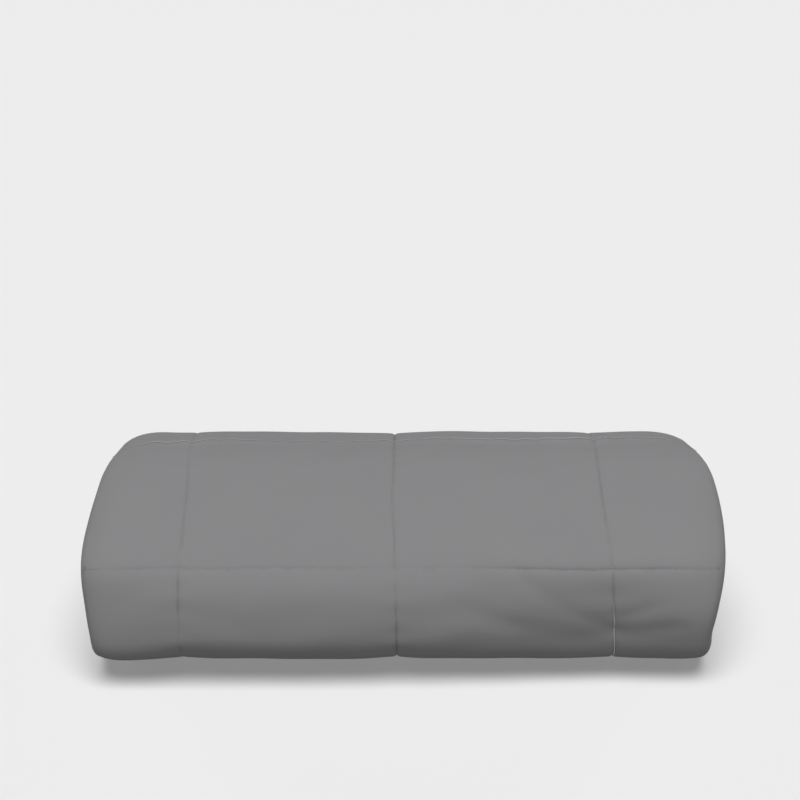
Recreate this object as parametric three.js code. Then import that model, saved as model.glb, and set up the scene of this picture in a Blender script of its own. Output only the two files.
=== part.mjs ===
import * as THREE from "three";

// A quilted bedspread, folded in three along its length and then rolled up flat.
// Millimetres. X runs along the roll, -Y is its front, +Z is up, and it rests on Z = 0.
// The folded strip is one band, wound from its loose end at the back inwards to the core.

const GREY = 0x87878a;

// The oval that the outer turn follows, about Y = 0. Its nose is the foremost point, its crown
// the highest.
const FRONT_DEPTH = 285; // from the nose back to the oval's middle
const BACK_DEPTH = 192;
const NOSE_HEIGHT = 78;
const CROWN_RISE = 187; // the crown above the nose
const PRESSED = 6; // how much of the underside its weight has pressed flat
// How full each quarter of the oval is: 2 is an ellipse, and more is squarer.
const FULLNESS = { frontTop: 1.85, frontUnder: 2.3, backTop: 2.25, backUnder: 2.4 };

// The flat core: a slit that the innermost turn closes on.
const CORE_Y = -39;
const CORE_HEIGHT = 130;
const CORE_HALF_WIDTH = 101;
const CORE_HALF_SLIT = 0.6;

// Depths count inwards from the oval, on a scale where the core lies this deep.
const CORE_DEPTH = 130;
const TURN_PITCHES = [36, 40, 53]; // three thicknesses of quilt, looser towards the core
const TURN_GAP = 3; // between one turn and the next
const CORE_GAP = 0.8; // between the innermost turn and the slit
const LOOSE_END_ANGLE = 205; // degrees round the oval, low at the back
const LAP_START = 0.86; // share of a turn after which it dips under the one outside it
const STRIP_START = 2.965; // turns from the loose end to the hidden start at the core
const HEM_ROUNDING = 7;

// The quilting: seams along the strip stand at these X, and cross seams this far apart.
const SEAMS_X = [-313, -14, 287];
const BLOCK_LENGTH = 285;
const CROSS_SEAM_ANGLE = 31; // where one of them crosses the front
const SEAM_DEPTH = 5;
const SEAM_REACH = [0, 14, 46]; // how far from a seam the face is shaped
const SEAM_PROFILE = [1, 0.42, 0]; // share of the depth left at each reach
const FLOOR_BLEND = 20; // quilting fades out this close to the floor

// How far the strip's side folds reach from the middle, by the angle round the oval.
const FOLD_REACH = [
  { angle: -60, left: 443, right: 441 },
  { angle: -30, left: 441, right: 435 },
  { angle: -10, left: 440, right: 433 },
  { angle: 10, left: 446, right: 440 },
  { angle: 25, left: 452, right: 448 },
  { angle: 40, left: 455, right: 454 },
  { angle: 55, left: 452, right: 457 },
  { angle: 70, left: 447, right: 456 },
  { angle: 85, left: 441, right: 451 },
  { angle: 100, left: 435, right: 441 },
  { angle: 120, left: 435, right: 437 },
  { angle: 150, left: 437, right: 438 },
  { angle: 195, left: 438, right: 438 },
  { angle: 245, left: 440, right: 439 },
  { angle: 300, left: 443, right: 441 },
];
const TURN_INSET = [0, 7, 3]; // how much shorter each inner turn lies at both ends
// Towards its ends the whole roll draws in, more on the left and more above than beneath.
const SHOULDERS = {
  left: { length: 70, drop: 36, shareBeneath: 0.35 },
  right: { length: 70, drop: 32, shareBeneath: 0.1 },
};
// Where the whole roll swells out, and where it sinks in, with the half angles in degrees.
const SWELLS = [
  { x: 0, angle: 76, halfLength: 1000, halfAngle: 10, out: 6 },
  { x: -150, angle: 25, halfLength: 380, halfAngle: 11, out: 6 },
  { x: 280, angle: 34, halfLength: 200, halfAngle: 10, out: 12 },
  { x: 280, angle: -3, halfLength: 200, halfAngle: 18, out: -14 },
  { x: -430, angle: 32, halfLength: 90, halfAngle: 9, out: 8 },
  { x: -430, angle: -16, halfLength: 90, halfAngle: 14, out: 6 },
];
const FOLD_RADIUS = 15; // of the rounded side folds
const FOLD_ROUNDING = [
  { inset: 4, share: 0.12 },
  { inset: 0, share: 0.5 },
  { inset: 4, share: 0.88 },
];

// How fine the band is cut into stations.
const WALK_STEP = 0.25; // degrees
const STATION_LENGTH = [34, 44, 52]; // the longest step in each turn
const STATION_BEND = [14, 18, 24]; // the sharpest bend in each turn, in degrees

const FULL_TURN = 360;
const radians = THREE.MathUtils.degToRad;
const mix = THREE.MathUtils.lerp;
const smooth = THREE.MathUtils.smoothstep;

// A point of a superellipse quarter: the share of the half axis at a sine or cosine.
const quarter = (value, fullness) =>
  Math.sign(value) * Math.abs(value) ** (2 / fullness);

// The oval at an angle: 0 is the nose, 90 the crown, 180 the back.
function ovalPoint(angle) {
  const forward = Math.cos(radians(angle));
  const up = Math.sin(radians(angle));
  const side = forward >= 0 ? "front" : "back";
  const fullness = FULLNESS[side + (up >= 0 ? "Top" : "Under")];
  const depth = forward >= 0 ? FRONT_DEPTH : BACK_DEPTH;
  const height = up >= 0 ? CROWN_RISE : NOSE_HEIGHT + PRESSED;
  return {
    y: -depth * quarter(forward, fullness),
    z: Math.max(0, NOSE_HEIGHT + height * quarter(up, fullness)),
  };
}

// The same angle on the core's flat slit.
const corePoint = (angle) => ({
  y: CORE_Y - CORE_HALF_WIDTH * Math.cos(radians(angle)),
  z: CORE_HEIGHT + CORE_HALF_SLIT * Math.sin(radians(angle)),
});

// The point at an angle and a depth below the oval.
function windingPoint(angle, depth) {
  const outer = ovalPoint(angle);
  const core = corePoint(angle);
  const share = Math.min(depth / CORE_DEPTH, 1);
  return { y: mix(outer.y, core.y, share), z: mix(outer.z, core.z, share) };
}

// Where the band is after winding through so many degrees from its loose end.
function windingAt(wound) {
  const turn = Math.min(Math.floor(wound / FULL_TURN), TURN_PITCHES.length - 1);
  const share = wound / FULL_TURN - turn;
  const above = TURN_PITCHES.slice(0, turn).reduce((sum, pitch) => sum + pitch, 0);
  const pitch = TURN_PITCHES[turn];
  const depth = above + pitch * smooth(share, LAP_START, 1);
  const next = TURN_PITCHES[turn + 1] ?? pitch;
  const gap = turn + 1 < TURN_PITCHES.length ? TURN_GAP : CORE_GAP;
  const thickness = mix(pitch, next, smooth(share, LAP_START, 1)) - gap;
  return { wound, turn, angle: LOOSE_END_ANGLE - wound, depth, thickness };
}

// Walks the band's outer face and notes its length and bend at each small step.
function walkBand() {
  const steps = [];
  let length = 0;
  let effort = 0;
  let previous = null;
  let heading = null;
  for (let wound = 0; wound <= FULL_TURN * STRIP_START; wound += WALK_STEP) {
    const place = windingAt(wound);
    const point = windingPoint(place.angle, place.depth);
    if (previous) {
      const step = Math.hypot(point.y - previous.y, point.z - previous.z);
      const direction = Math.atan2(point.z - previous.z, point.y - previous.y);
      const bend = heading === null ? 0 : Math.abs(wrapAngle(direction - heading));
      length += step;
      effort += step / STATION_LENGTH[place.turn];
      effort += THREE.MathUtils.radToDeg(bend) / STATION_BEND[place.turn];
      heading = direction;
    }
    steps.push({ ...place, length, effort });
    previous = point;
  }
  return steps;
}

const wrapAngle = (angle) => Math.atan2(Math.sin(angle), Math.cos(angle));

// The step of the walk where one of its measures first reaches a value.
const stepAt = (steps, measure, value) =>
  steps.find((step) => step[measure] >= value) ?? steps.at(-1);

// The lengths along the band of every cross seam.
function crossSeams(steps) {
  const total = steps.at(-1).length;
  const front = stepAt(steps, "wound", LOOSE_END_ANGLE - CROSS_SEAM_ANGLE).length;
  const seams = [];
  for (let at = front % BLOCK_LENGTH; at < total; at += BLOCK_LENGTH) seams.push(at);
  return seams;
}

// The stations where the band's section is placed: at the hem, at and beside each cross seam,
// and between those as often as length and bend ask for.
function stationsOf(steps, seams) {
  const total = steps.at(-1).length;
  const marks = [0, HEM_ROUNDING];
  for (const seam of seams)
    for (const offset of [-SEAM_REACH[1], 0, SEAM_REACH[1]])
      if (seam + offset > 2 * HEM_ROUNDING && seam + offset < total - HEM_ROUNDING)
        marks.push(seam + offset);
  marks.push(total);
  const stations = [];
  marks.forEach((mark, i) => {
    const here = stepAt(steps, "length", mark);
    stations.push(here);
    if (i + 1 === marks.length) return;
    const there = stepAt(steps, "length", marks[i + 1]);
    const pieces = Math.ceil(there.effort - here.effort);
    for (let piece = 1; piece < pieces; piece++)
      stations.push(stepAt(steps, "effort", mix(here.effort, there.effort, piece / pieces)));
  });
  return stations;
}

// How far the side folds reach at an angle: a smooth curve through the table, left and right.
const reachCurve = new THREE.CubicInterpolant(
  FOLD_REACH.map((row) => row.angle),
  FOLD_REACH.flatMap((row) => [row.left, row.right]),
  2,
);
reachCurve.settings = { endingStart: THREE.WrapAroundEnding, endingEnd: THREE.WrapAroundEnding };

function foldReach(angle) {
  const first = FOLD_REACH[0].angle;
  return reachCurve.evaluate(THREE.MathUtils.euclideanModulo(angle - first, FULL_TURN) + first);
}

// The share of the seam depth left at a distance from a seam.
function seamShare(distance) {
  const far = SEAM_REACH.findIndex((reach) => reach > distance);
  if (far < 0) return 0;
  const share = (distance - SEAM_REACH[far - 1]) / (SEAM_REACH[far] - SEAM_REACH[far - 1]);
  return mix(SEAM_PROFILE[far - 1], SEAM_PROFILE[far], share);
}

// How deep the quilting lies at a place on the outer face.
function quiltDepth(x, length, seams) {
  const along = Math.max(...SEAMS_X.map((seam) => seamShare(Math.abs(x - seam))));
  const across = Math.max(...seams.map((seam) => seamShare(Math.abs(length - seam))));
  return SEAM_DEPTH * Math.max(along, across);
}

// How much the roll is drawn in at a distance from its end and an angle.
function shoulderDrop({ length, drop, shareBeneath }, fromEnd, angle) {
  const q = THREE.MathUtils.clamp(1 - fromEnd / length, 0, 1);
  const share = mix(shareBeneath, 1, (1 + Math.sin(radians(angle))) / 2);
  return share * drop * (1 - Math.sqrt(1 - q * q));
}

// How far the whole roll swells out at a place, or sinks in where it is below zero.
function swelling(x, angle) {
  return SWELLS.reduce((sum, swell) => {
    const apart = wrapAngle(radians(angle - swell.angle)) / radians(swell.halfAngle);
    const beside = (x - swell.x) / swell.halfLength;
    return sum + swell.out * Math.exp(-(apart ** 2) - beside ** 2);
  }, 0);
}

// The band's section at a station, as a closed loop of places: x, and the share of its
// thickness below the outer face. It runs left to right outside and right to left inside.
function sectionLoop(left, right) {
  const shoulder = (side) => [0, 0.42, 1].map((share) => mix(FOLD_RADIUS, SHOULDERS[side].length, share));
  const leftColumns = shoulder("left").map((inset) => left + inset);
  const rightColumns = shoulder("right").map((inset) => right - inset).reverse();
  const seamColumns = SEAMS_X.flatMap((seam) =>
    [-2, -1, 0, 1, 2].map((k) => seam + Math.sign(k) * SEAM_REACH[Math.abs(k)]),
  );
  const outside = [...leftColumns, ...seamColumns, ...rightColumns].map((x) => ({ x, share: 0 }));
  const inside = [...leftColumns, ...rightColumns].reverse().map((x) => ({ x, share: 1 }));
  const rightFold = FOLD_ROUNDING.map(({ inset, share }) => ({ x: right - inset, share }));
  const leftFold = FOLD_ROUNDING.map(({ inset, share }) => ({ x: left + inset, share })).reverse();
  return [...outside, ...rightFold, ...inside, ...leftFold];
}

// The loop's corners in space.
function ringAt(station, seams) {
  const { angle, turn, depth, thickness, length } = station;
  const inset = TURN_INSET[turn];
  const [leftReach, rightReach] = foldReach(angle);
  const left = inset - leftReach;
  const right = rightReach - inset;
  const hem = length < HEM_ROUNDING ? 0.25 : 0; // share that the hem's edge is rounded by
  return sectionLoop(left, right).map(({ x, share }) => {
    const roundedShare = mix(hem, 1 - hem, share);
    const below = Math.min(depth + thickness * roundedShare, CORE_DEPTH - CORE_GAP);
    const drop =
      shoulderDrop(SHOULDERS.left, x - left, angle) +
      shoulderDrop(SHOULDERS.right, right - x, angle) -
      swelling(x, angle);
    const smoothDepth = mix(below, CORE_DEPTH, drop / CORE_DEPTH);
    const plain = windingPoint(angle, smoothDepth);
    const quilt = share === 0 ? quiltDepth(x, length, seams) * smooth(plain.z, 0, FLOOR_BLEND) : 0;
    const point = windingPoint(angle, smoothDepth + quilt);
    return [x, point.y, point.z];
  });
}

// Joins the rings of corners into one closed surface, each end closed by a fan to its middle.
function bandGeometry(rings) {
  const count = rings[0].length;
  const index = [];
  for (let i = 0; i + 1 < rings.length; i++)
    for (let j = 0; j < count; j++) {
      const a = i * count + j;
      const b = i * count + ((j + 1) % count);
      index.push(a, a + count, b, b, a + count, b + count);
    }
  const corners = rings.flat();
  for (const [i, flip] of [[0, false], [rings.length - 1, true]]) {
    const middle = corners.length;
    corners.push([0, 1, 2].map((axis) => rings[i].reduce((sum, c) => sum + c[axis], 0) / count));
    for (let j = 0; j < count; j++) {
      const [a, b] = [i * count + j, i * count + ((j + 1) % count)];
      index.push(...(flip ? [b, a, middle] : [a, b, middle]));
    }
  }
  const geometry = new THREE.BufferGeometry();
  geometry.setAttribute("position", new THREE.Float32BufferAttribute(corners.flat(), 3));
  geometry.setIndex(index);
  geometry.computeVertexNormals();
  return centredOnOrigin(geometry);
}

// Moves the roll so that the middle of its box stands over the origin.
function centredOnOrigin(geometry) {
  geometry.computeBoundingBox();
  const middle = geometry.boundingBox.getCenter(new THREE.Vector3());
  return geometry.translate(-middle.x, -middle.y, 0);
}

function rolledBedspread() {
  const steps = walkBand();
  const seams = crossSeams(steps);
  const rings = stationsOf(steps, seams).map((station) => ringAt(station, seams));
  const quilt = new THREE.MeshStandardMaterial({ color: GREY, roughness: 0.7, metalness: 0 });
  const mesh = new THREE.Mesh(bandGeometry(rings), quilt);
  mesh.name = "bedspread_roll";
  return mesh;
}

const bedspread = new THREE.Group();
bedspread.add(rolledBedspread());

export default bedspread;
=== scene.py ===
# A quilted bedspread, folded in three along its length and then rolled up flat.
# Metres, in the frame's axes: X runs along the roll, -Y is its front and +Z is up.
import math
from types import SimpleNamespace

import bmesh
import bpy
import numpy as np
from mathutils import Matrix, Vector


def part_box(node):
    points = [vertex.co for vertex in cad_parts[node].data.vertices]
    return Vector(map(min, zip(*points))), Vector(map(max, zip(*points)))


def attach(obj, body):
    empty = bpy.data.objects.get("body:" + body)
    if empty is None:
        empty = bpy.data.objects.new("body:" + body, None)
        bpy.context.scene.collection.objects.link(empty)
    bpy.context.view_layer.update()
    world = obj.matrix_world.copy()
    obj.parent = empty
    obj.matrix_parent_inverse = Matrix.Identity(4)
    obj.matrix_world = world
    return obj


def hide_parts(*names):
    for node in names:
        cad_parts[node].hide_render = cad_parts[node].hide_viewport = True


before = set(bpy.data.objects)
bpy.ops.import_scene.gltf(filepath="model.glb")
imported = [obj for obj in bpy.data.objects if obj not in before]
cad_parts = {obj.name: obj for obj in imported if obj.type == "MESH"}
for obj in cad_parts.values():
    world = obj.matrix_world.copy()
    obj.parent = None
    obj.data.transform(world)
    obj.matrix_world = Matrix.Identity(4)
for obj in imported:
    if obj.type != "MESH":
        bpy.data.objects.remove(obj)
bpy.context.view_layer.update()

ROLL_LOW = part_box("bedspread_roll")[0]

# The oval that the outer turn follows. Angles on it are in degrees: 0 is the nose at the
# front, 90 the crown, 180 the back.
FRONT_DEPTH = 0.285
BACK_DEPTH = 0.192
NOSE_HEIGHT = 0.078
CROWN_RISE = 0.187
PRESSED = 0.006
FULLNESS = {"front top": 1.85, "front under": 2.3, "back top": 2.25, "back under": 2.4}
OVAL_Y = ROLL_LOW.y + FRONT_DEPTH

# The flat core, which the innermost turn closes on.
CORE_Y = OVAL_Y - 0.039
CORE_HEIGHT = 0.130
CORE_HALF_WIDTH = 0.101
CORE_HALF_SLIT = 0.0006

# How the folded strip is wound, from its loose end low at the back inwards. Depths count
# from the oval to the core.
CORE_DEPTH = 0.130
TURN_PITCHES = np.array([0.036, 0.040, 0.053])
TURN_GAP = 0.003
CORE_GAP = 0.0008
LOOSE_END_ANGLE = 205
LAP_START = 0.86
STRIP_START = 2.965
FULL_TURN = 360

# The cloth, and how its three layers lie in the strip.
CLOTH_THICKNESS = 0.0105
CLOTH_SHARE = 0.86  # the most of a third of the strip that the cloth takes up
HEM_INSIDE_FOLD = 0.010  # how far the last hem stays inside the left fold
HEM_WAVER = 0.003
HEM_BULGE = 0.4  # how far a hem's edge stands out, as a share of the cloth's thickness
HEM_ROUNDING = (0, 0.30), (0.002, 0.75), (0.005, 0.95), (0.010, 1)  # length, share of thickness
SLIP = {"second": 0.004, "third": 0.009}  # how far a layer's loose edge lies back
SLIP_REACH = 0.08
SECOND_EDGE_BACK = 0.004  # how far the second layer's edge ends before the right-hand fold

# How far the side folds reach from the middle, by the angle round the oval.
FOLD_REACH = np.array([  # angle, left, right
    (-60, 0.443, 0.441),
    (-30, 0.441, 0.435),
    (-10, 0.440, 0.433),
    (10, 0.446, 0.440),
    (25, 0.452, 0.448),
    (40, 0.455, 0.454),
    (55, 0.452, 0.457),
    (70, 0.447, 0.456),
    (85, 0.441, 0.451),
    (100, 0.435, 0.441),
    (120, 0.435, 0.437),
    (150, 0.437, 0.438),
    (195, 0.438, 0.438),
    (245, 0.440, 0.439),
    (300, 0.443, 0.441),
])
ROLL_X = (FOLD_REACH[:, 1].max() - FOLD_REACH[:, 2].max()) / 2
INSET_TURNS = (0, 0.86, 1, 1.86, 2, 3)
INSETS = (0, 0, 0.007, 0.007, 0.003, 0.003)
LEFT_SHOULDER = {"length": 0.070, "drop": 0.036, "share beneath": 0.35}
RIGHT_SHOULDER = {"length": 0.070, "drop": 0.032, "share beneath": 0.1}
# Where the whole roll swells out, and where it sinks in, with the half angles in degrees.
SWELLS = (
    {"x": 0.0, "angle": 76, "half_length": 1.0, "half_angle": 10, "out": 0.006},
    {"x": -0.15, "angle": 25, "half_length": 0.38, "half_angle": 11, "out": 0.006},
    {"x": 0.28, "angle": 34, "half_length": 0.20, "half_angle": 10, "out": 0.012},
    {"x": 0.28, "angle": -3, "half_length": 0.20, "half_angle": 18, "out": -0.014},
    {"x": -0.43, "angle": 32, "half_length": 0.09, "half_angle": 9, "out": 0.008},
    {"x": -0.43, "angle": -16, "half_length": 0.09, "half_angle": 14, "out": 0.006},
)
INNER_WAVER = 0.0016  # how unevenly the inner turns' side folds lie

# The quilting. Seams along the strip stand at these X, cross seams a block apart.
SEAMS_X = (-0.313, -0.014, 0.287)
BLOCK_WIDTH = 0.300
BLOCK_LENGTH = 0.285
FRONT_SEAM_ANGLE = 31
PUFF = 0.0024
PUFF_REACH = 0.060
LEAST_PULL = 0.5  # how much of the filling's rise even the weakest seam takes away
CREASE = {"depth": 0.0026, "width": 0.0020}
CROSS_CREASE = {"depth": 0.0028, "width": 0.0040}
TOP_WELT = {"depth": -0.0036, "width": 0.0060}  # the seam at the top stands up instead
CROSSING_PIT = 0.0012
CROSSING_WIDTH = 0.007
BEND = 0.008  # how far the roll's bend gathers at its cross seams
BEND_REACH = 0.050
BEND_LEVEL = 0.35
GATHER = 0.0005  # soft ripples that a seam draws in
GATHER_REACH = 0.018
GATHER_LENGTH = 0.037
FOLD_STRENGTH = 0.12  # how much of the relief is left on the side folds
FOLD_FADE = (0.36, 0.42)
UNEVENNESS = 0.00035

# How finely the sheet is cut up.
SEAM_OFFSETS = (0.0012, 0.0026, 0.005, 0.009, 0.015, 0.023, 0.034, 0.048)
COARSE_SEAM_OFFSETS = (0.012, 0.024)
HEM_ROWS = (0.0, 0.002, 0.005, 0.010, 0.014, 0.018, 0.026)
ROW_STEP = np.array([0.009, 0.026, 0.030])  # in each turn
ROW_BEND = np.array([7.0, 16.0, 24.0])
COLUMN_STEP = 0.0095
KEPT_STEP = 0.024  # between the columns that go on where the cloth is hidden
HIDDEN_COLUMNS = 14
SHOWN_TURNS = 1.03
LEFT_FOLD_COLUMNS = 7
RIGHT_FOLD_COLUMNS = 9
COLUMN_END = 0.42
COLUMN_GIVE = 0.12  # columns this near a side fold move with it
STEP_OVERRUN = 0.2  # the share of a step that a gap may be longer by before it is cut
# Where the quilting of the hidden parts is read, from the right-hand fold to the left-hand one.
SECOND_LAYER_X = (0.41, -0.42)
THIRD_LAYER_X = (0.41, -0.43)
FOLD_X = 0.44


def mix(a, b, share):
    return a + (b - a) * share


def smooth(value, start=0.0, end=1.0):
    share = np.clip((value - start) / (end - start), 0, 1)
    return share * share * (3 - 2 * share)


def eased(value, places, heights):
    """Reads a short table, with a smooth step from each row to the next."""
    places, heights = np.asarray(places, float), np.asarray(heights, float)
    row = np.clip(np.searchsorted(places, value, side="right") - 1, 0, len(places) - 2)
    return mix(heights[row], heights[row + 1], smooth(value, places[row], places[row + 1]))


def bell(distance, width):
    return np.exp(-((distance / width) ** 2))


def quarter(value, fullness):
    """The share of a half axis that a superellipse has at a sine or cosine."""
    return np.sign(value) * np.abs(value) ** (2 / fullness)


def oval_point(angle):
    forward, up = np.cos(np.radians(angle)), np.sin(np.radians(angle))
    front = np.where(up >= 0, FULLNESS["front top"], FULLNESS["front under"])
    back = np.where(up >= 0, FULLNESS["back top"], FULLNESS["back under"])
    depth = np.where(forward >= 0, FRONT_DEPTH, BACK_DEPTH)
    height = np.where(up >= 0, CROWN_RISE, NOSE_HEIGHT + PRESSED)
    y = OVAL_Y - depth * quarter(forward, np.where(forward >= 0, front, back))
    z = NOSE_HEIGHT + height * quarter(up, np.where(forward >= 0, front, back))
    return y, np.maximum(z, 0)


def core_point(angle):
    y = CORE_Y - CORE_HALF_WIDTH * np.cos(np.radians(angle))
    z = CORE_HEIGHT + CORE_HALF_SLIT * np.sin(np.radians(angle))
    return y, z


def winding_point(angle, depth):
    share = np.minimum(depth / CORE_DEPTH, 1)
    (outer_y, outer_z), (core_y, core_z) = oval_point(angle), core_point(angle)
    return mix(outer_y, core_y, share), mix(outer_z, core_z, share)


def depth_and_room(wound):
    """How deep the strip's outer face lies after so many degrees, and the strip's thickness."""
    turn = np.minimum(np.floor(wound / FULL_TURN), len(TURN_PITCHES) - 1).astype(int)
    lap = smooth(wound / FULL_TURN - turn, LAP_START, 1)
    depth = np.concatenate([[0], np.cumsum(TURN_PITCHES)])[turn] + TURN_PITCHES[turn] * lap
    following = TURN_PITCHES[np.minimum(turn + 1, len(TURN_PITCHES) - 1)]
    room = mix(TURN_PITCHES[turn], following, lap) - TURN_GAP
    return depth, np.minimum(room, CORE_DEPTH - CORE_GAP - depth)


# A fine walk along the strip's outer face, which turns lengths into angles.
WALK_WOUND = np.arange(0, FULL_TURN * STRIP_START, 0.25)
WALK_Y, WALK_Z = winding_point(LOOSE_END_ANGLE - WALK_WOUND, depth_and_room(WALK_WOUND)[0])
WALK_STEPS = np.hypot(np.diff(WALK_Y), np.diff(WALK_Z))
WALK_LENGTH = np.concatenate([[0], np.cumsum(WALK_STEPS)])


def length_at(angle):
    """The length from the loose end to an angle of the outer turn."""
    return float(np.interp(LOOSE_END_ANGLE - angle, WALK_WOUND, WALK_LENGTH))


STRIP_LENGTH = WALK_LENGTH[-1]
OUTER_TURN = length_at(LOOSE_END_ANGLE - FULL_TURN)
FRONT_SEAM = length_at(FRONT_SEAM_ANGLE)
TOP_SEAM = FRONT_SEAM - BLOCK_LENGTH
CROSS_SEAMS = np.arange(FRONT_SEAM % BLOCK_LENGTH, STRIP_LENGTH, BLOCK_LENGTH)

# Where each seam along the strip strays as it goes round, and how strongly it draws in.
SEAM_ANGLES = (-25, 5, 14, 24, 29, 33, 40, 58, 78, 100)
SEAM_STRAY = (
    (0.0005, 0.0005, 0.0, 0.0, -0.001, -0.0005, 0.0015, 0.002, -0.001, -0.002),
    (0.0035, 0.003, 0.002, 0.001, 0.0005, 0.0, 0.0, -0.003, -0.001, 0.0),
    (0.0075, 0.005, 0.0035, 0.002, 0.0015, 0.0, -0.0005, -0.004, -0.0055, -0.006),
)
SEAM_STRENGTH = (
    (0.5, 0.4, 0.9, 1.0, 0.9, 0.25, 0.9, 0.8, 0.5, 0.6),
    (1.0, 0.9, 0.7, 0.5, 0.4, 0.6, 0.9, 0.7, 0.8, 1.0),
    (0.9, 0.9, 1.0, 1.0, 1.0, 0.7, 0.7, 0.9, 0.7, 0.6),
)
# The same for the two cross seams that show, by X.
CROSS_X = (-0.44, -0.34, -0.317, -0.28, -0.184, -0.08, -0.02, 0.07, 0.17, 0.233, 0.366, 0.44)
FRONT_STRAY = (0.001, 0.0, 0.0, 0.001, -0.001, 0.0, 0.001, -0.001, 0.0, 0.001, 0.0, 0.0)
FRONT_STRENGTH = (0.5, 0.9, 0.9, 0.8, 0.9, 0.6, 0.15, 0.3, 1.1, 1.1, 1.1, 0.9)
TOP_STRAY = (0.026, 0.038, 0.037, 0.026, 0.032, 0.027, 0.025, 0.022, 0.029, 0.028, 0.021, 0.015)
TOP_STRENGTH = (0.6, 0.9, 1.0, 0.9, 0.8, 0.6, 0.7, 0.9, 1.0, 1.0, 1.0, 0.7)
HIDDEN_STRENGTH = 0.8
STRAY_REACH = 0.13

# Soft troughs in the outer face, and ridges where the depth is below zero. Each lies at an X
# and an angle, and runs in a direction given in degrees from along the roll.
MARKS = (
    {"x": 0.190, "angle": 22, "half_length": 0.060, "half_width": 0.014, "depth": 0.0026, "turn": -38},
    {"x": 0.225, "angle": 14, "half_length": 0.050, "half_width": 0.016, "depth": -0.0022, "turn": -38},
    {"x": 0.255, "angle": 8, "half_length": 0.045, "half_width": 0.014, "depth": 0.0024, "turn": -30},
    {"x": 0.130, "angle": 9, "half_length": 0.060, "half_width": 0.016, "depth": 0.0020, "turn": -20},
    {"x": 0.060, "angle": 12, "half_length": 0.050, "half_width": 0.020, "depth": 0.0014, "turn": 14},
    {"x": 0.330, "angle": 14, "half_length": 0.035, "half_width": 0.012, "depth": 0.0020, "turn": 25},
    {"x": 0.375, "angle": 4, "half_length": 0.055, "half_width": 0.014, "depth": 0.0020, "turn": 8},
    {"x": 0.200, "angle": 75, "half_length": 0.055, "half_width": 0.018, "depth": 0.0020, "turn": 20},
    {"x": 0.130, "angle": 67, "half_length": 0.045, "half_width": 0.020, "depth": -0.0016, "turn": 12},
    {"x": 0.390, "angle": 66, "half_length": 0.050, "half_width": 0.020, "depth": 0.0018, "turn": 50},
    {"x": 0.050, "angle": 57, "half_length": 0.060, "half_width": 0.030, "depth": -0.0018, "turn": 5},
    {"x": -0.090, "angle": 59, "half_length": 0.070, "half_width": 0.030, "depth": -0.0018, "turn": -3},
    {"x": -0.200, "angle": 52, "half_length": 0.080, "half_width": 0.022, "depth": 0.0013, "turn": 4},
    {"x": -0.330, "angle": 67, "half_length": 0.024, "half_width": 0.010, "depth": 0.0020, "turn": 30},
    {"x": -0.395, "angle": 52, "half_length": 0.060, "half_width": 0.020, "depth": 0.0018, "turn": 75},
    {"x": -0.385, "angle": 16, "half_length": 0.050, "half_width": 0.018, "depth": 0.0016, "turn": 60},
    {"x": -0.240, "angle": 8, "half_length": 0.050, "half_width": 0.018, "depth": 0.0014, "turn": -12},
)


def fold_reach(side, angle):
    """How far a side fold reaches at an angle, on a smooth curve through the table. Side 1 is
    the left, 2 the right."""
    turn = np.array([FULL_TURN, 0, 0])
    rows = np.concatenate([FOLD_REACH[-2:-1] - turn, FOLD_REACH, FOLD_REACH[1:2] + turn])
    places, reach = rows[:, 0], rows[:, side]
    rates = np.diff(reach) / np.diff(places)
    slopes = np.concatenate([[0], (rates[1:] + rates[:-1]) / 2, [0]])
    angle = places[1] + (angle - places[1]) % FULL_TURN
    row = np.searchsorted(places, angle, side="right") - 1
    step = places[row + 1] - places[row]
    share = (angle - places[row]) / step
    level = mix(reach[row], reach[row + 1], smooth(share))
    rising = share * (1 - share) ** 2 * slopes[row] - share ** 2 * (1 - share) * slopes[row + 1]
    return level + step * rising


def cross_stray(x, length):
    """How far a point moves along the strip because the cross seam near it strays."""
    moved = 0
    for seam, table in ((FRONT_SEAM, FRONT_STRAY), (TOP_SEAM, TOP_STRAY)):
        near = 1 - smooth(np.abs(length - seam), 0, STRAY_REACH)
        moved = moved + near * eased(x, CROSS_X, table)
    return moved


def seam_stray(x, angle):
    """How far a point moves along the roll because the seam near it strays."""
    moved = 0
    for seam, table in zip(SEAMS_X, SEAM_STRAY):
        near = 1 - smooth(np.abs(x - seam), 0, STRAY_REACH)
        moved = moved + near * eased(angle, SEAM_ANGLES, table)
    return moved


def cross_strength(seam, x):
    if math.isclose(seam, FRONT_SEAM):
        return eased(x, CROSS_X, FRONT_STRENGTH)
    if math.isclose(seam, TOP_SEAM):
        return eased(x, CROSS_X, TOP_STRENGTH)
    return HIDDEN_STRENGTH + 0 * x


def seam_relief(distance, strength, crease):
    """The share of the filling's rise beside a seam, and the depth of the stitched crease."""
    beside = np.clip(1 - distance / PUFF_REACH, 0, 1) ** 2
    depth = strength * crease["depth"] * np.exp(-distance / crease["width"])
    return 1 - mix(LEAST_PULL, 1, strength) * beside, depth


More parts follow.
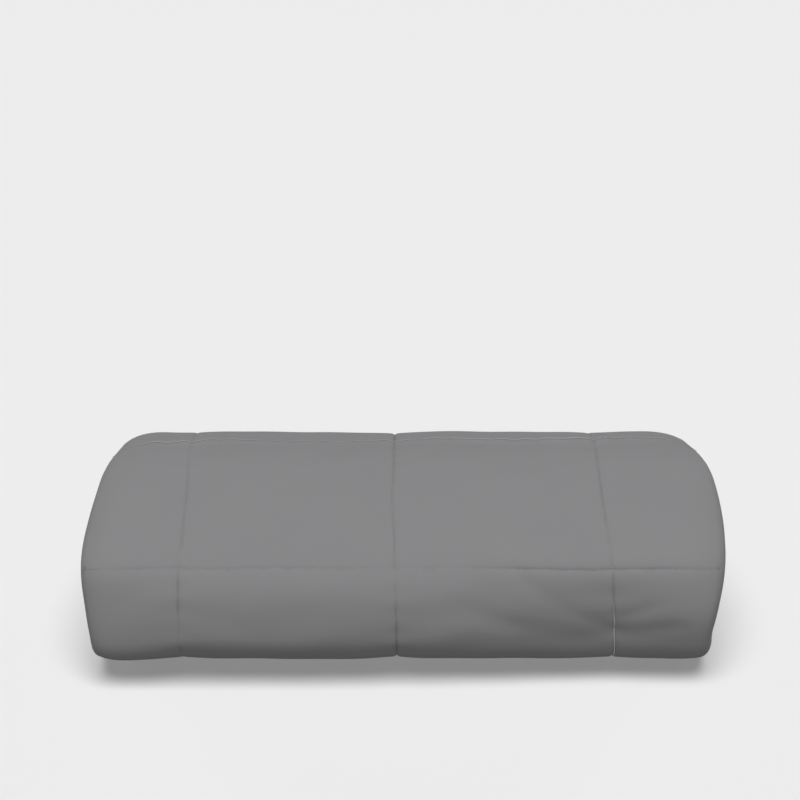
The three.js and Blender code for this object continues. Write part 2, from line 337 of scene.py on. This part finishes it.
def quilting(x, length, angle):
    """How deep the quilting lies at an X across the strip and a length along it."""
    rise, crease, across, gathers, bent = 1.0, 0.0, 0.0, 0.0, 0.0
    near = [0.0, 0.0]
    for seam, table in zip(SEAMS_X, SEAM_STRENGTH):
        distance = np.abs(x - seam)
        swell, pulled = seam_relief(distance, eased(angle, SEAM_ANGLES, table), CREASE)
        rise, crease = rise * swell, np.maximum(crease, pulled)
        gathers = gathers + gathering(distance, length, 40 * seam)
        near[0] = np.maximum(near[0], bell(distance, CROSSING_WIDTH))
    for seam in CROSS_SEAMS:
        distance = np.abs(length - seam)
        profile = TOP_WELT if math.isclose(seam, TOP_SEAM) else CROSS_CREASE
        swell, pulled = seam_relief(distance, cross_strength(seam, x), profile)
        rise, across = rise * swell, across + pulled
        gathers = gathers + gathering(distance, x, 70 * seam)
        bent = np.maximum(bent, cross_strength(seam, x) * np.exp(-distance / BEND_REACH))
        near[1] = np.maximum(near[1], bell(distance, CROSSING_WIDTH))
    crease = np.maximum(crease, across) + np.minimum(across, 0)
    drawn_in = PUFF * (1 - rise) + crease + CROSSING_PIT * near[0] * near[1]
    return drawn_in + gathers - BEND * (bent - BEND_LEVEL)


def gathering(distance, along, start):
    """Ripples across a seam, as deep as they are high."""
    uneven = np.sin(2 * np.pi * along / GATHER_LENGTH + start + 1.3 * np.sin(19 * along + start))
    return GATHER * uneven * np.exp(-distance / GATHER_REACH)


def marks(x, length):
    depth = 0
    for mark in MARKS:
        turn = math.radians(mark["turn"])
        beside, beyond = x - mark["x"], length_at(mark["angle"]) - length
        along = beside * math.cos(turn) + beyond * math.sin(turn)
        across = beyond * math.cos(turn) - beside * math.sin(turn)
        share = bell(along, mark["half_length"]) * bell(across, mark["half_width"])
        depth = depth + mark["depth"] * share
    return depth


def unevenness(x, length):
    """The filling lies a little unevenly, as a few crossing waves."""
    broad = np.sin(23 * x + 9 * length + 1.0) + np.sin(41 * length - 17 * x + 2.2)
    narrow = 0.7 * np.sin(67 * x + 31 * length + 4.1) + 0.6 * np.sin(83 * length + 38 * x)
    return UNEVENNESS * (broad + narrow + 1.5)


def face_depth(x, length, angle):
    on_face = mix(1, FOLD_STRENGTH, smooth(np.abs(x), *FOLD_FADE))
    return on_face * (quilting(x, length, angle) + marks(x, length) + unevenness(x, length))


def strip_at(length):
    """What the folded strip measures at a length from its loose end."""
    wound = np.interp(length, WALK_LENGTH, WALK_WOUND)
    angle = LOOSE_END_ANGLE - wound
    depth, room = depth_and_room(wound)
    inset = eased(wound / FULL_TURN, INSET_TURNS, INSETS)
    waver = INNER_WAVER * smooth(wound / FULL_TURN, 0.9, 1.1)
    left = inset - fold_reach(1, angle) + waver * (np.sin(13 * length) + np.sin(31 * length + 1))
    right = fold_reach(2, angle) - inset + waver * (np.sin(11 * length + 2) + np.sin(29 * length))
    full = np.minimum(CLOTH_THICKNESS, CLOTH_SHARE * room / 3)
    cloth = full * np.interp(length, *zip(*HEM_ROUNDING))
    first, second, third = full / 2, room / 2, room - full / 2
    left_radius, right_radius = (second - first) / 2, (third - first) / 2
    return SimpleNamespace(
        length=length, angle=angle, depth=depth, cloth=cloth, left=left, right=right,
        first=first, second=second, third=third, left_radius=left_radius, right_radius=right_radius,
        left_centre=left + full / 2 + left_radius, right_centre=right - full / 2 - right_radius,
    )


def shoulder_drop(shoulder, from_end, angle):
    q = np.clip(1 - from_end / shoulder["length"], 0, 1)
    share = mix(shoulder["share beneath"], 1, (1 + np.sin(np.radians(angle))) / 2)
    return share * shoulder["drop"] * (1 - np.sqrt(1 - q * q))


def swelling(x, angle):
    """How far the whole roll swells out at a place, or sinks in where it is below zero."""
    out = 0
    for swell in SWELLS:
        apart = (angle - swell["angle"] + FULL_TURN / 2) % FULL_TURN - FULL_TURN / 2
        share = bell(x - swell["x"], swell["half_length"]) * bell(apart, swell["half_angle"])
        out = out + swell["out"] * share
    return out


def in_roll(strip, x, below):
    """The points at an X across the strip and a depth below its outer face. The floor presses
    flat whatever would lie lower."""
    drop = shoulder_drop(LEFT_SHOULDER, x - strip.left, strip.angle)
    drop = drop + shoulder_drop(RIGHT_SHOULDER, strip.right - x, strip.angle)
    drop = drop - swelling(x, strip.angle)
    y, z = winding_point(strip.angle, mix(strip.depth + below, CORE_DEPTH, drop / CORE_DEPTH))
    return np.stack([ROLL_X + x, y, np.maximum(z, 0)], axis=-1)


def outer_x(strip, x):
    """X of the outer layer's columns, which stray with the seams and move with the folds."""
    near_left = np.clip(1 - (x + COLUMN_END) / COLUMN_GIVE, 0, 1) ** 2
    near_right = np.clip(1 - (COLUMN_END - x) / COLUMN_GIVE, 0, 1) ** 2
    moved = near_left * (strip.left_centre + COLUMN_END) + near_right * (strip.right_centre - COLUMN_END)
    return x + moved + seam_stray(x, strip.angle)


def outer_face(x, length, lift=0.0):
    """The points of the bedspread's face that shows, or a little proud of it."""
    strip = strip_at(length + cross_stray(x, length))
    return in_roll(strip, outer_x(strip, x), face_depth(x, length, strip.angle) - lift)


# Each part of the sheet's section gives X and depth of its middle line at every column, and
# the direction that its outer face looks in.
def first_layer(strip, x):
    return outer_x(strip, x), strip.first, 0, -1


def second_layer(strip, x):
    share = np.linspace(0, 1, x.size)
    edge = strip.right_centre - SECOND_EDGE_BACK
    return mix(edge, strip.left_centre, share), strip.second, 0, 1


def third_layer(strip, x):
    share = np.linspace(0, 1, x.size)
    hem = strip.left + HEM_INSIDE_FOLD + HEM_WAVER * np.sin(21 * strip.length)
    return mix(strip.right_centre, hem, share), strip.third, 0, 1


def fold(centre, below, radius, turning):
    out_x, out_depth = np.cos(np.radians(turning)), np.sin(np.radians(turning))
    return centre + radius * out_x, below + radius * out_depth, out_x, out_depth


def left_fold(strip, x):
    turning = np.linspace(90, 270, x.size + 2)[1:-1]
    return fold(strip.left_centre, (strip.first + strip.second) / 2, strip.left_radius, turning)


def right_fold(strip, x):
    turning = np.linspace(-90, 90, x.size + 2)[1:-1]
    return fold(strip.right_centre, (strip.first + strip.third) / 2, strip.right_radius, turning)


def spread(marks_at, step):
    """The marks in order, with even places between those that are more than a step apart."""
    marks_at = sorted({round(float(mark), 6) for mark in marks_at})
    places = marks_at[:1]
    for a, b in zip(marks_at, marks_at[1:]):
        pieces = max(1, math.ceil((b - a) / step - STEP_OVERRUN))
        places += list(np.linspace(a, b, pieces + 1)[1:])
    return np.array(places)


def outer_columns():
    """X of the outer layer's columns, and which of them go on where the cloth is hidden."""
    marks_at = [-COLUMN_END, COLUMN_END]
    for seam in SEAMS_X:
        marks_at += [seam + side * offset for offset in (0, *SEAM_OFFSETS) for side in (-1, 1)]
    columns = spread(marks_at, COLUMN_STEP)
    steps = np.floor(columns / KEPT_STEP)
    kept = np.append(True, steps[1:] != steps[:-1])
    kept[-1] = True
    return columns, kept


def row_lengths():
    """Lengths of every row of points, closest near seams and bends."""
    turn = np.minimum(WALK_WOUND // FULL_TURN, len(TURN_PITCHES) - 1).astype(int)[1:]
    heading = np.unwrap(np.arctan2(np.diff(WALK_Z), np.diff(WALK_Y)))
    bend = np.degrees(np.abs(np.diff(heading, prepend=heading[0])))
    effort = WALK_STEPS / ROW_STEP[turn] + bend / ROW_BEND[turn]
    effort = np.concatenate([[0], np.cumsum(effort)])
    marks_at = [STRIP_LENGTH]
    for seam in CROSS_SEAMS:
        offsets = SEAM_OFFSETS if seam < OUTER_TURN else COARSE_SEAM_OFFSETS
        marks_at += [seam + side * offset for offset in (0, *offsets) for side in (-1, 1)]
    marks_at = [mark for mark in marks_at if HEM_ROWS[-1] < mark <= STRIP_LENGTH]
    places = spread(np.interp([*HEM_ROWS, *marks_at], WALK_LENGTH, effort), 1)
    return np.interp(places, effort, WALK_LENGTH)


def sheet_grid(rows):
    """Both faces of the sheet and its two hems: a ring of points for each row."""
    columns, kept = outer_columns()
    parts = (
        (np.linspace(*SECOND_LAYER_X, HIDDEN_COLUMNS), second_layer, SLIP["second"], SLIP["second"]),
        (np.full(LEFT_FOLD_COLUMNS, -FOLD_X), left_fold, SLIP["second"], 0),
        (columns, first_layer, 0, 0),
        (np.full(RIGHT_FOLD_COLUMNS, FOLD_X), right_fold, 0, SLIP["third"]),
        (np.linspace(*THIRD_LAYER_X, HIDDEN_COLUMNS), third_layer, SLIP["third"], SLIP["third"]),
    )
    length = rows[:, None]
    outside, inside, hems = [], [], []
    for x, section, slip_from, slip_to in parts:
        slip = np.linspace(slip_from, slip_to, x.size) * (1 - smooth(length, 0, SLIP_REACH))
        strip = strip_at(length + slip + cross_stray(x, length))
        middle_x, below, out_x, out_depth = section(strip, x)
        out = strip.cloth / 2 - face_depth(x, length, strip.angle) * strip.cloth / CLOTH_THICKNESS
        outside.append(in_roll(strip, middle_x + out * out_x, below + out * out_depth))
        inward = -strip.cloth / 2
        inside.append(in_roll(strip, middle_x + inward * out_x, below + inward * out_depth))
        if section in (second_layer, third_layer):
            column, side = (slice(0, 1), 1) if section is second_layer else (slice(-1, None), -1)
            edge_x = middle_x + side * HEM_BULGE * strip.cloth
            hems.append(in_roll(strip, edge_x, below + 0 * edge_x)[:, column])
    start, end = hems
    points = np.concatenate([*outside, end, *[face[:, ::-1] for face in inside[::-1]], start], axis=1)
    return points, *ring_columns(parts, kept)


def ring_columns(parts, kept):
    """For each point of a ring: its X on the cloth, whether every row has it, and whether it
    is on the face that shows."""
    everywhere = [kept if section is first_layer else np.ones(x.size, bool) for x, section, *_ in parts]
    everywhere = np.concatenate(everywhere)
    x = np.concatenate([part[0] for part in parts])
    ring_x = np.concatenate([x, x[-1:], x[::-1], x[:1]])
    ring_kept = np.concatenate([everywhere, [True], everywhere[::-1], [True]])
    shown = np.arange(ring_x.size) <= x.size
    return ring_x, ring_kept, shown


def sheet_faces(used, kept):
    """Faces between the rows and over the strip's two ends, as lists of point numbers. The
    used points are those that a row has. Where a face meets a row with more, it takes them in."""
    row_count, around = used.shape
    stops = np.flatnonzero(kept)
    faces = []
    for row in range(row_count - 1):
        for a, b in zip(stops, [*stops[1:], around]):
            here = used_between(used[row], a, b)
            there = used_between(used[row + 1], a, b)
            start, following = row * around, (row + 1) * around
            pairs = [(here, there)]
            if len(here) == len(there):
                pairs = [(here[k:k + 2], there[k:k + 2]) for k in range(len(here) - 1)]
            for near, far in pairs:
                faces.append([start + k for k in near] + [following + k for k in reversed(far)])
    for row in (0, row_count - 1):
        faces += end_faces(row * around, used[row], stops)
    return faces


def used_between(used, a, b):
    """The used points of a row from one stop to the next, which may be back at its start."""
    around = len(used)
    return [k % around for k in range(a, b + 1) if used[k % around]]


def end_faces(first, used, stops):
    """Faces between the sheet's two sides at an end of the strip, and at its hems' edges."""
    around = len(used)
    columns = around // 2 - 1
    faces = []
    stops = [stop for stop in stops if stop < columns]
    for a, b in zip(stops, stops[1:]):
        back = used_between(used, around - 2 - b, around - 2 - a)
        faces.append([first + k for k in used_between(used, a, b) + back])
    faces.append([first + columns - 1, first + columns, first + columns + 1])
    faces.append([first, first + around - 2, first + around - 1])
    return faces


def drop_unused(points, faces, used):
    """Only the used points, and the faces with the points' new numbers."""
    numbers = np.cumsum(used.ravel()) - 1
    return points.reshape(-1, 3)[used.ravel()], [numbers[face].tolist() for face in faces]


def mesh_piece(name, points, faces, material):
    mesh = bpy.data.meshes.new(name)
    mesh.from_pydata(points.reshape(-1, 3).tolist(), [], faces)
    piece = bpy.data.objects.new(name, mesh)
    bpy.context.collection.objects.link(piece)
    shape = bmesh.new()
    shape.from_mesh(mesh)
    bmesh.ops.recalc_face_normals(shape, faces=shape.faces)
    shape.to_mesh(mesh)
    shape.free()
    mesh.shade_smooth()
    mesh.materials.append(material)
    return piece


def cloth_places(x, length):
    """Places on the flat cloth, with the seams at whole numbers of blocks from the first."""
    outer = (SEAMS_X[0] - BLOCK_WIDTH, *SEAMS_X, SEAMS_X[-1] + BLOCK_WIDTH)
    across = np.interp(x, outer, BLOCK_WIDTH * np.arange(-2, 3))
    return np.stack(np.broadcast_arrays(across, length - FRONT_SEAM, 0.0), axis=-1)


def sharpen_seams(piece, on_seam):
    """Keeps the creases along the strip crisp. Each point carries the number of the seam that
    it lies on, or -1."""
    ends = np.empty(2 * len(piece.data.edges), int)
    piece.data.edges.foreach_get("vertices", ends)
    a, b = on_seam[ends.reshape(-1, 2)].T
    attribute = piece.data.attributes.new("sharp_edge", "BOOLEAN", "EDGE")
    attribute.data.foreach_set("value", (a == b) & (a >= 0))


def seam_numbers(rows, ring_x, shown):
    """For each point of the sheet, which of the seams along the strip it lies on, or -1."""
    numbers = np.full((len(rows), len(ring_x)), -1)
    for number, seam in enumerate(SEAMS_X):
        numbers[:, shown & np.isclose(ring_x, seam)] = number
    return numbers


def rolled_bedspread(material):
    rows = row_lengths()
    points, ring_x, kept, shown = sheet_grid(rows)
    finer = shown & (rows[:, None] < length_at(LOOSE_END_ANGLE - SHOWN_TURNS * FULL_TURN))
    used = kept | finer
    points, faces = drop_unused(points, sheet_faces(used, kept), used)
    piece = mesh_piece("rolled_bedspread", points, faces, material)
    sharpen_seams(piece, seam_numbers(rows, ring_x, shown)[used])
    places = cloth_places(ring_x[None], rows[:, None])[used]
    attribute = piece.data.attributes.new("cloth", "FLOAT_VECTOR", "POINT")
    attribute.data.foreach_set("vector", places.astype(np.float32).ravel())
    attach(piece, "root")
    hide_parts("bedspread_roll")
    return piece


# The stitching.
STITCH_PITCH = 0.0036
STITCH_LENGTH = 0.0028
STITCH_RADIUS = 0.00050
STITCH_RINGS = (0.2, 0.5, 0.8)
STITCH_SIDES = 5
STITCH_STAND = 0.4  # how far a stitch's middle stands off the cloth, as a share of its radius
OUTWARD_STEP = 0.001  # a small step off the cloth, which finds the way out
HEM_STITCH_FROM_EDGE = 0.012
STITCHED_FROM = 0.004
STITCHED_X = (-0.424, 0.424)
# The thread is painted pale low on the right-hand seam, as a painted highlight, and there it lies loose
# across its crease. Along the welt at the top it is painted pale too, as a painted highlight, more in
# some places than in others, but lies on the cloth.
PAINTED_HIGHLIGHT_ANGLES = (20, -34)
TOP_PAINTED_HIGHLIGHT = (0, 0.9, 0.8, 0.6, 0.35, 0.4, 0.5, 0.7, 0.9, 1.0, 0.4, 0)  # by the X of CROSS_X
PALE_RADIUS = 0.0012
PALE_LIFT = 0.0018


def stitch_runs():
    """Where each stitch starts and ends on the cloth, as rows of x, length, x, length."""
    runs = []
    for x in SEAMS_X:
        for start in np.arange(STITCHED_FROM, OUTER_TURN, STITCH_PITCH):
            runs.append((x, start, x, start + STITCH_LENGTH))
    shown = [seam for seam in CROSS_SEAMS if seam < OUTER_TURN]
    for length in (HEM_STITCH_FROM_EDGE, *shown):
        for start in np.arange(STITCHED_X[0], STITCHED_X[1], STITCH_PITCH):
            runs.append((start, length, start + STITCH_LENGTH, length))
    return np.array(runs)


def stitches(material):
    runs = stitch_runs()
    shares = np.array([0, *STITCH_RINGS, 1])
    x = mix(runs[:, [0]], runs[:, [2]], shares)
    length = mix(runs[:, [1]], runs[:, [3]], shares)
    # pale is how strongly each stitch is painted pale as a painted highlight; the same share lifts and
    # thickens the thread.
    pale = painted_highlight_share(x, length)
    lift = PALE_LIFT * pale * (x == SEAMS_X[-1])  # only there does it span a crease
    centre = outer_face(x, length, lift=lift)
    out = outer_face(x, length, lift=lift + OUTWARD_STEP) - centre
    out /= np.linalg.norm(out, axis=-1, keepdims=True)
    ahead = np.broadcast_to(centre[:, -1:] - centre[:, :1], out.shape)
    side = np.cross(ahead, out)
    side /= np.linalg.norm(side, axis=-1, keepdims=True)
    turning = np.arange(STITCH_SIDES) * 2 * math.pi / STITCH_SIDES
    ring = np.cos(turning)[:, None] * side[:, 1:-1, None] + np.sin(turning)[:, None] * out[:, 1:-1, None]
    radius = mix(STITCH_RADIUS, PALE_RADIUS, pale[:, 1:-1, None, None])
    bulge = radius * np.sin(np.pi * shares[1:-1])[None, :, None, None] ** 0.5
    rings = centre[:, 1:-1, None] + STITCH_STAND * bulge * out[:, 1:-1, None] + bulge * ring
    points = np.concatenate([centre[:, :1], rings.reshape(len(runs), -1, 3), centre[:, -1:]], axis=1)
    faces = []
    for first in range(0, points.shape[0] * points.shape[1], points.shape[1]):
        faces += stitch_faces(first)
    piece = mesh_piece("quilting_stitches", points, faces, material)
    # The thread material paints the stitches pale by this share, as a painted highlight.
    attribute = piece.data.attributes.new("pale", "FLOAT", "POINT")
    attribute.data.foreach_set("value", np.repeat(pale.mean(axis=1), points.shape[1]).astype(np.float32))
    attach(piece, "root")
    return piece


def painted_highlight_share(x, length):
    """How pale the thread is painted, as a painted highlight: 1 where it is palest, and 0 in most
    places.
    """
    start, end = length_at(PAINTED_HIGHLIGHT_ANGLES[0]), length_at(PAINTED_HIGHLIGHT_ANGLES[1])
    low = smooth(length, start, start + 0.05) * (1 - smooth(length, end - 0.02, end))
    top = eased(x, CROSS_X, TOP_PAINTED_HIGHLIGHT) * np.isclose(length, TOP_SEAM)
    return np.where(x == SEAMS_X[-1], np.maximum(low, top), top)


def stitch_faces(first):
    faces = []
    last = first + 1 + len(STITCH_RINGS) * STITCH_SIDES
    for j in range(STITCH_SIDES):
        k = (j + 1) % STITCH_SIDES
        faces.append([first, first + 1 + j, first + 1 + k])
        faces.append([last, last - STITCH_SIDES + k, last - STITCH_SIDES + j])
        for ring in range(len(STITCH_RINGS) - 1):
            a = first + 1 + ring * STITCH_SIDES
            faces.append([a + j, a + STITCH_SIDES + j, a + STITCH_SIDES + k, a + k])
    return faces


def add_node(tree, kind, inputs=None, **settings):
    """Adds a node. An input is given a value, or the socket that feeds it."""
    made = tree.nodes.new(kind)
    for name, value in settings.items():
        setattr(made, name, value)
    for name, value in (inputs or {}).items():
        if isinstance(value, bpy.types.NodeSocket):
            tree.links.new(value, made.inputs[name])
        else:
            made.inputs[name].default_value = value
    return made


def math_node(tree, operation, *values):
    return add_node(tree, "ShaderNodeMath", dict(enumerate(values)), operation=operation).outputs[0]


CLOTH_GREY = (0.237, 0.237, 0.242, 1)
CLOTH_GREY_WORN = (0.226, 0.226, 0.232, 1)
THREAD_GREY = (0.300, 0.300, 0.306, 1)
# The thread's pale grey is a painted highlight, not the thread's own colour.
THREAD_PAINTED_HIGHLIGHT = (0.500, 0.500, 0.510, 1)
PUCKER_REACH = 0.008
PUCKER_HEIGHT = 0.0004
WEAVE_HEIGHT = 0.00012
PATCH_SCALE = (9, 9, 1)
ALONG_SCALE = (3, 32, 1)
ACROSS_SCALE = (32, 3, 1)
WEAVE_SCALE = (160, 900, 1)
TWIST_SCALE = (700, 700, 700)
ALONG_SHARE = 0.4  # how strong the puckers along the strip are, beside those across it
COLOUR_A, COLOUR_B, COLOUR_OUT = 6, 7, 2  # the Mix node's sockets for colours


def noise_node(tree, place, scale, detail):
    """Soft noise, stretched by a scale for each direction."""
    scaled = add_node(tree, "ShaderNodeMapping", {"Vector": place, "Scale": scale}).outputs[0]
    noise = add_node(tree, "ShaderNodeTexNoise", {"Vector": scaled, "Scale": 1.0, "Detail": detail})
    return noise.outputs[0]


def grey_mix(tree, share, first, second):
    mixed = add_node(tree, "ShaderNodeMix", {"Factor": share}, data_type="RGBA")
    mixed.inputs[COLOUR_A].default_value = first
    mixed.inputs[COLOUR_B].default_value = second
    return mixed.outputs[COLOUR_OUT]


def puckers(tree, across, along, block, place, scale):
    """The small puckers between a seam's stitches, strong in some places and weak in others."""
    distance = math_node(tree, "PINGPONG", across, block / 2)
    near = add_node(tree, "ShaderNodeMapRange", {
        "Value": distance, "From Max": PUCKER_REACH, "To Min": 1.0, "To Max": 0.0,
    }, interpolation_type="SMOOTHSTEP").outputs["Result"]
    wave = math_node(tree, "SINE", math_node(tree, "MULTIPLY", along, 2 * math.pi / STITCH_PITCH))
    strength = add_node(tree, "ShaderNodeMapRange", {
        "Value": noise_node(tree, place, scale, 1.0), "From Min": 0.35, "From Max": 0.75,
    }).outputs["Result"]
    return math_node(tree, "MULTIPLY", math_node(tree, "MULTIPLY", near, wave), strength)


def cloth_material():
    material = bpy.data.materials.new("quilted_microfibre")
    material.use_nodes = True
    tree = material.node_tree
    shader = tree.nodes["Principled BSDF"]
    place = add_node(tree, "ShaderNodeAttribute", attribute_name="cloth").outputs["Vector"]
    parts = add_node(tree, "ShaderNodeSeparateXYZ", {"Vector": place}).outputs
    patches = noise_node(tree, place, PATCH_SCALE, 3.0)
    tree.links.new(grey_mix(tree, patches, CLOTH_GREY_WORN, CLOTH_GREY), shader.inputs["Base Color"])
    along_strip = puckers(tree, parts["X"], parts["Y"], BLOCK_WIDTH, place, ALONG_SCALE)
    across_strip = puckers(tree, parts["Y"], parts["X"], BLOCK_LENGTH, place, ACROSS_SCALE)
    puckered = math_node(tree, "MULTIPLY_ADD", along_strip, ALONG_SHARE, across_strip)
    gathered = add_node(tree, "ShaderNodeBump", {"Height": puckered, "Distance": PUCKER_HEIGHT})
    woven = add_node(tree, "ShaderNodeBump", {
        "Height": noise_node(tree, place, WEAVE_SCALE, 2.0),
        "Distance": WEAVE_HEIGHT, "Normal": gathered.outputs[0],
    })
    tree.links.new(woven.outputs[0], shader.inputs["Normal"])
    shader.inputs["Roughness"].default_value = 0.85
    shader.inputs["Specular IOR Level"].default_value = 0.08
    shader.inputs["Sheen Weight"].default_value = 0.02
    shader.inputs["Sheen Roughness"].default_value = 0.5
    return material


def thread_material():
    material = bpy.data.materials.new("quilting_thread")
    material.use_nodes = True
    tree = material.node_tree
    shader = tree.nodes["Principled BSDF"]
    # pale mixes in the painted highlight grey along the highlighted stitches.
    pale = add_node(tree, "ShaderNodeAttribute", attribute_name="pale").outputs["Fac"]
    grey = grey_mix(tree, pale, THREAD_GREY, THREAD_PAINTED_HIGHLIGHT)
    place = add_node(tree, "ShaderNodeTexCoord").outputs["Object"]
    twist = noise_node(tree, place, TWIST_SCALE, 2.0)
    ramp = add_node(tree, "ShaderNodeMapRange", {"Value": twist, "To Min": 0.85, "To Max": 1.1})
    shaded = {0: grey, "Scale": ramp.outputs["Result"]}
    shade = add_node(tree, "ShaderNodeVectorMath", shaded, operation="SCALE")
    tree.links.new(shade.outputs[0], shader.inputs["Base Color"])
    shader.inputs["Roughness"].default_value = 0.45
    return material


FLOOR_GLOW = 0.20  # keeps the shadow on the floor light, as on a lit table


def floor_material():
    material = bpy.data.materials.new("pale_floor")
    material.use_nodes = True
    shader = material.node_tree.nodes["Principled BSDF"]
    shader.inputs["Base Color"].default_value = (0.66, 0.66, 0.66, 1)
    shader.inputs["Roughness"].default_value = 0.9
    shader.inputs["Specular IOR Level"].default_value = 0.1
    shader.inputs["Emission Color"].default_value = (1, 1, 1, 1)
    shader.inputs["Emission Strength"].default_value = FLOOR_GLOW
    return material


FLOOR_HALF = 150.0


def floor():
    corners = np.array([(-1, -1, 0), (1, -1, 0), (1, 1, 0), (-1, 1, 0)]) * FLOOR_HALF
    piece = mesh_piece("floor", corners, [[0, 1, 2, 3]], floor_material())
    piece.visible_diffuse = False  # the studio's lower half stands for the light it throws back


LAMP_DISTANCE = 4.0


def lamp(name, data, azimuth, elevation):
    """A lamp that looks at the roll. Azimuth 0 is in front, 90 to the right."""
    made = bpy.data.objects.new(name, data)
    a, e = math.radians(azimuth), math.radians(elevation)
    made.location = (
        LAMP_DISTANCE * math.sin(a) * math.cos(e),
        -LAMP_DISTANCE * math.cos(a) * math.cos(e),
        LAMP_DISTANCE * math.sin(e),
    )
    made.rotation_euler = (math.radians(90 - elevation), 0, a)
    bpy.context.collection.objects.link(made)


def soft_sun(name, azimuth, elevation, strength, width):
    """A wide, even light from one side. Its width is in degrees."""
    data = bpy.data.lights.new(name, "SUN")
    data.energy = strength
    data.angle = math.radians(width)
    lamp(name, data, azimuth, elevation)


# How bright the studio around the roll is, below and above the horizon.
BELOW, HORIZON, OVERHEAD = 0.45, 0.84, 0.05
# Where it changes, as the height of a direction, from -1 straight down to 1 straight up.
BRIGHTENS = (-0.03, -0.005)
FADES = (0.01, 0.06)


def studio():
    """A plain grey studio, palest at the horizon."""
    world = bpy.data.worlds.new("studio")
    world.use_nodes = True
    tree = world.node_tree
    direction = add_node(tree, "ShaderNodeTexCoord").outputs["Generated"]
    height = add_node(tree, "ShaderNodeSeparateXYZ", {"Vector": direction}).outputs["Z"]
    rising = add_node(tree, "ShaderNodeMapRange", {
        "Value": height, "From Min": BRIGHTENS[0], "From Max": BRIGHTENS[1],
        "To Min": BELOW, "To Max": HORIZON,
    }).outputs[0]
    fading = add_node(tree, "ShaderNodeMapRange", {
        "Value": height, "From Min": FADES[0], "From Max": FADES[1],
        "To Min": 0.0, "To Max": HORIZON - OVERHEAD,
    }, interpolation_type="SMOOTHSTEP").outputs[0]
    background = tree.nodes["Background"]
    background.inputs["Color"].default_value = (1, 1, 1, 1)
    tree.links.new(math_node(tree, "SUBTRACT", rising, fading), background.inputs["Strength"])
    bpy.context.scene.world = world


def lights():
    soft_sun("key", azimuth=0, elevation=68, strength=3.05, width=45)
    soft_sun("back_left", azimuth=-140, elevation=4, strength=0.6, width=20)
    soft_sun("back_right", azimuth=140, elevation=4, strength=0.6, width=20)
    studio()
    bpy.context.scene.view_settings.view_transform = "Standard"


# The camera stands at the photograph's viewing angle: 24 degrees above the roll.
SIGHT_ELEVATION = 24
SIGHT_DISTANCE = 3.0
AIM_HEIGHT = 0.0961
CAMERA_X = -0.007
FRAME_PIXELS = 800
ROLL_BELOW_MIDDLE = 146  # pixels
FOCAL_PIXELS = 1972
SENSOR_WIDTH = 36


def camera():
    e = math.radians(SIGHT_ELEVATION)
    data = bpy.data.cameras.new("camera")
    data.sensor_width = SENSOR_WIDTH
    data.lens = FOCAL_PIXELS * SENSOR_WIDTH / FRAME_PIXELS
    eye = bpy.data.objects.new("camera", data)
    eye.location = (
        CAMERA_X,
        OVAL_Y - SIGHT_DISTANCE * math.cos(e),
        AIM_HEIGHT + SIGHT_DISTANCE * math.sin(e),
    )
    tilt = e - math.atan(ROLL_BELOW_MIDDLE / FOCAL_PIXELS)
    eye.rotation_euler = (math.pi / 2 - tilt, 0, 0)
    bpy.context.collection.objects.link(eye)
    bpy.context.scene.camera = eye


rolled_bedspread(cloth_material())
stitches(thread_material())
floor()
lights()
camera()
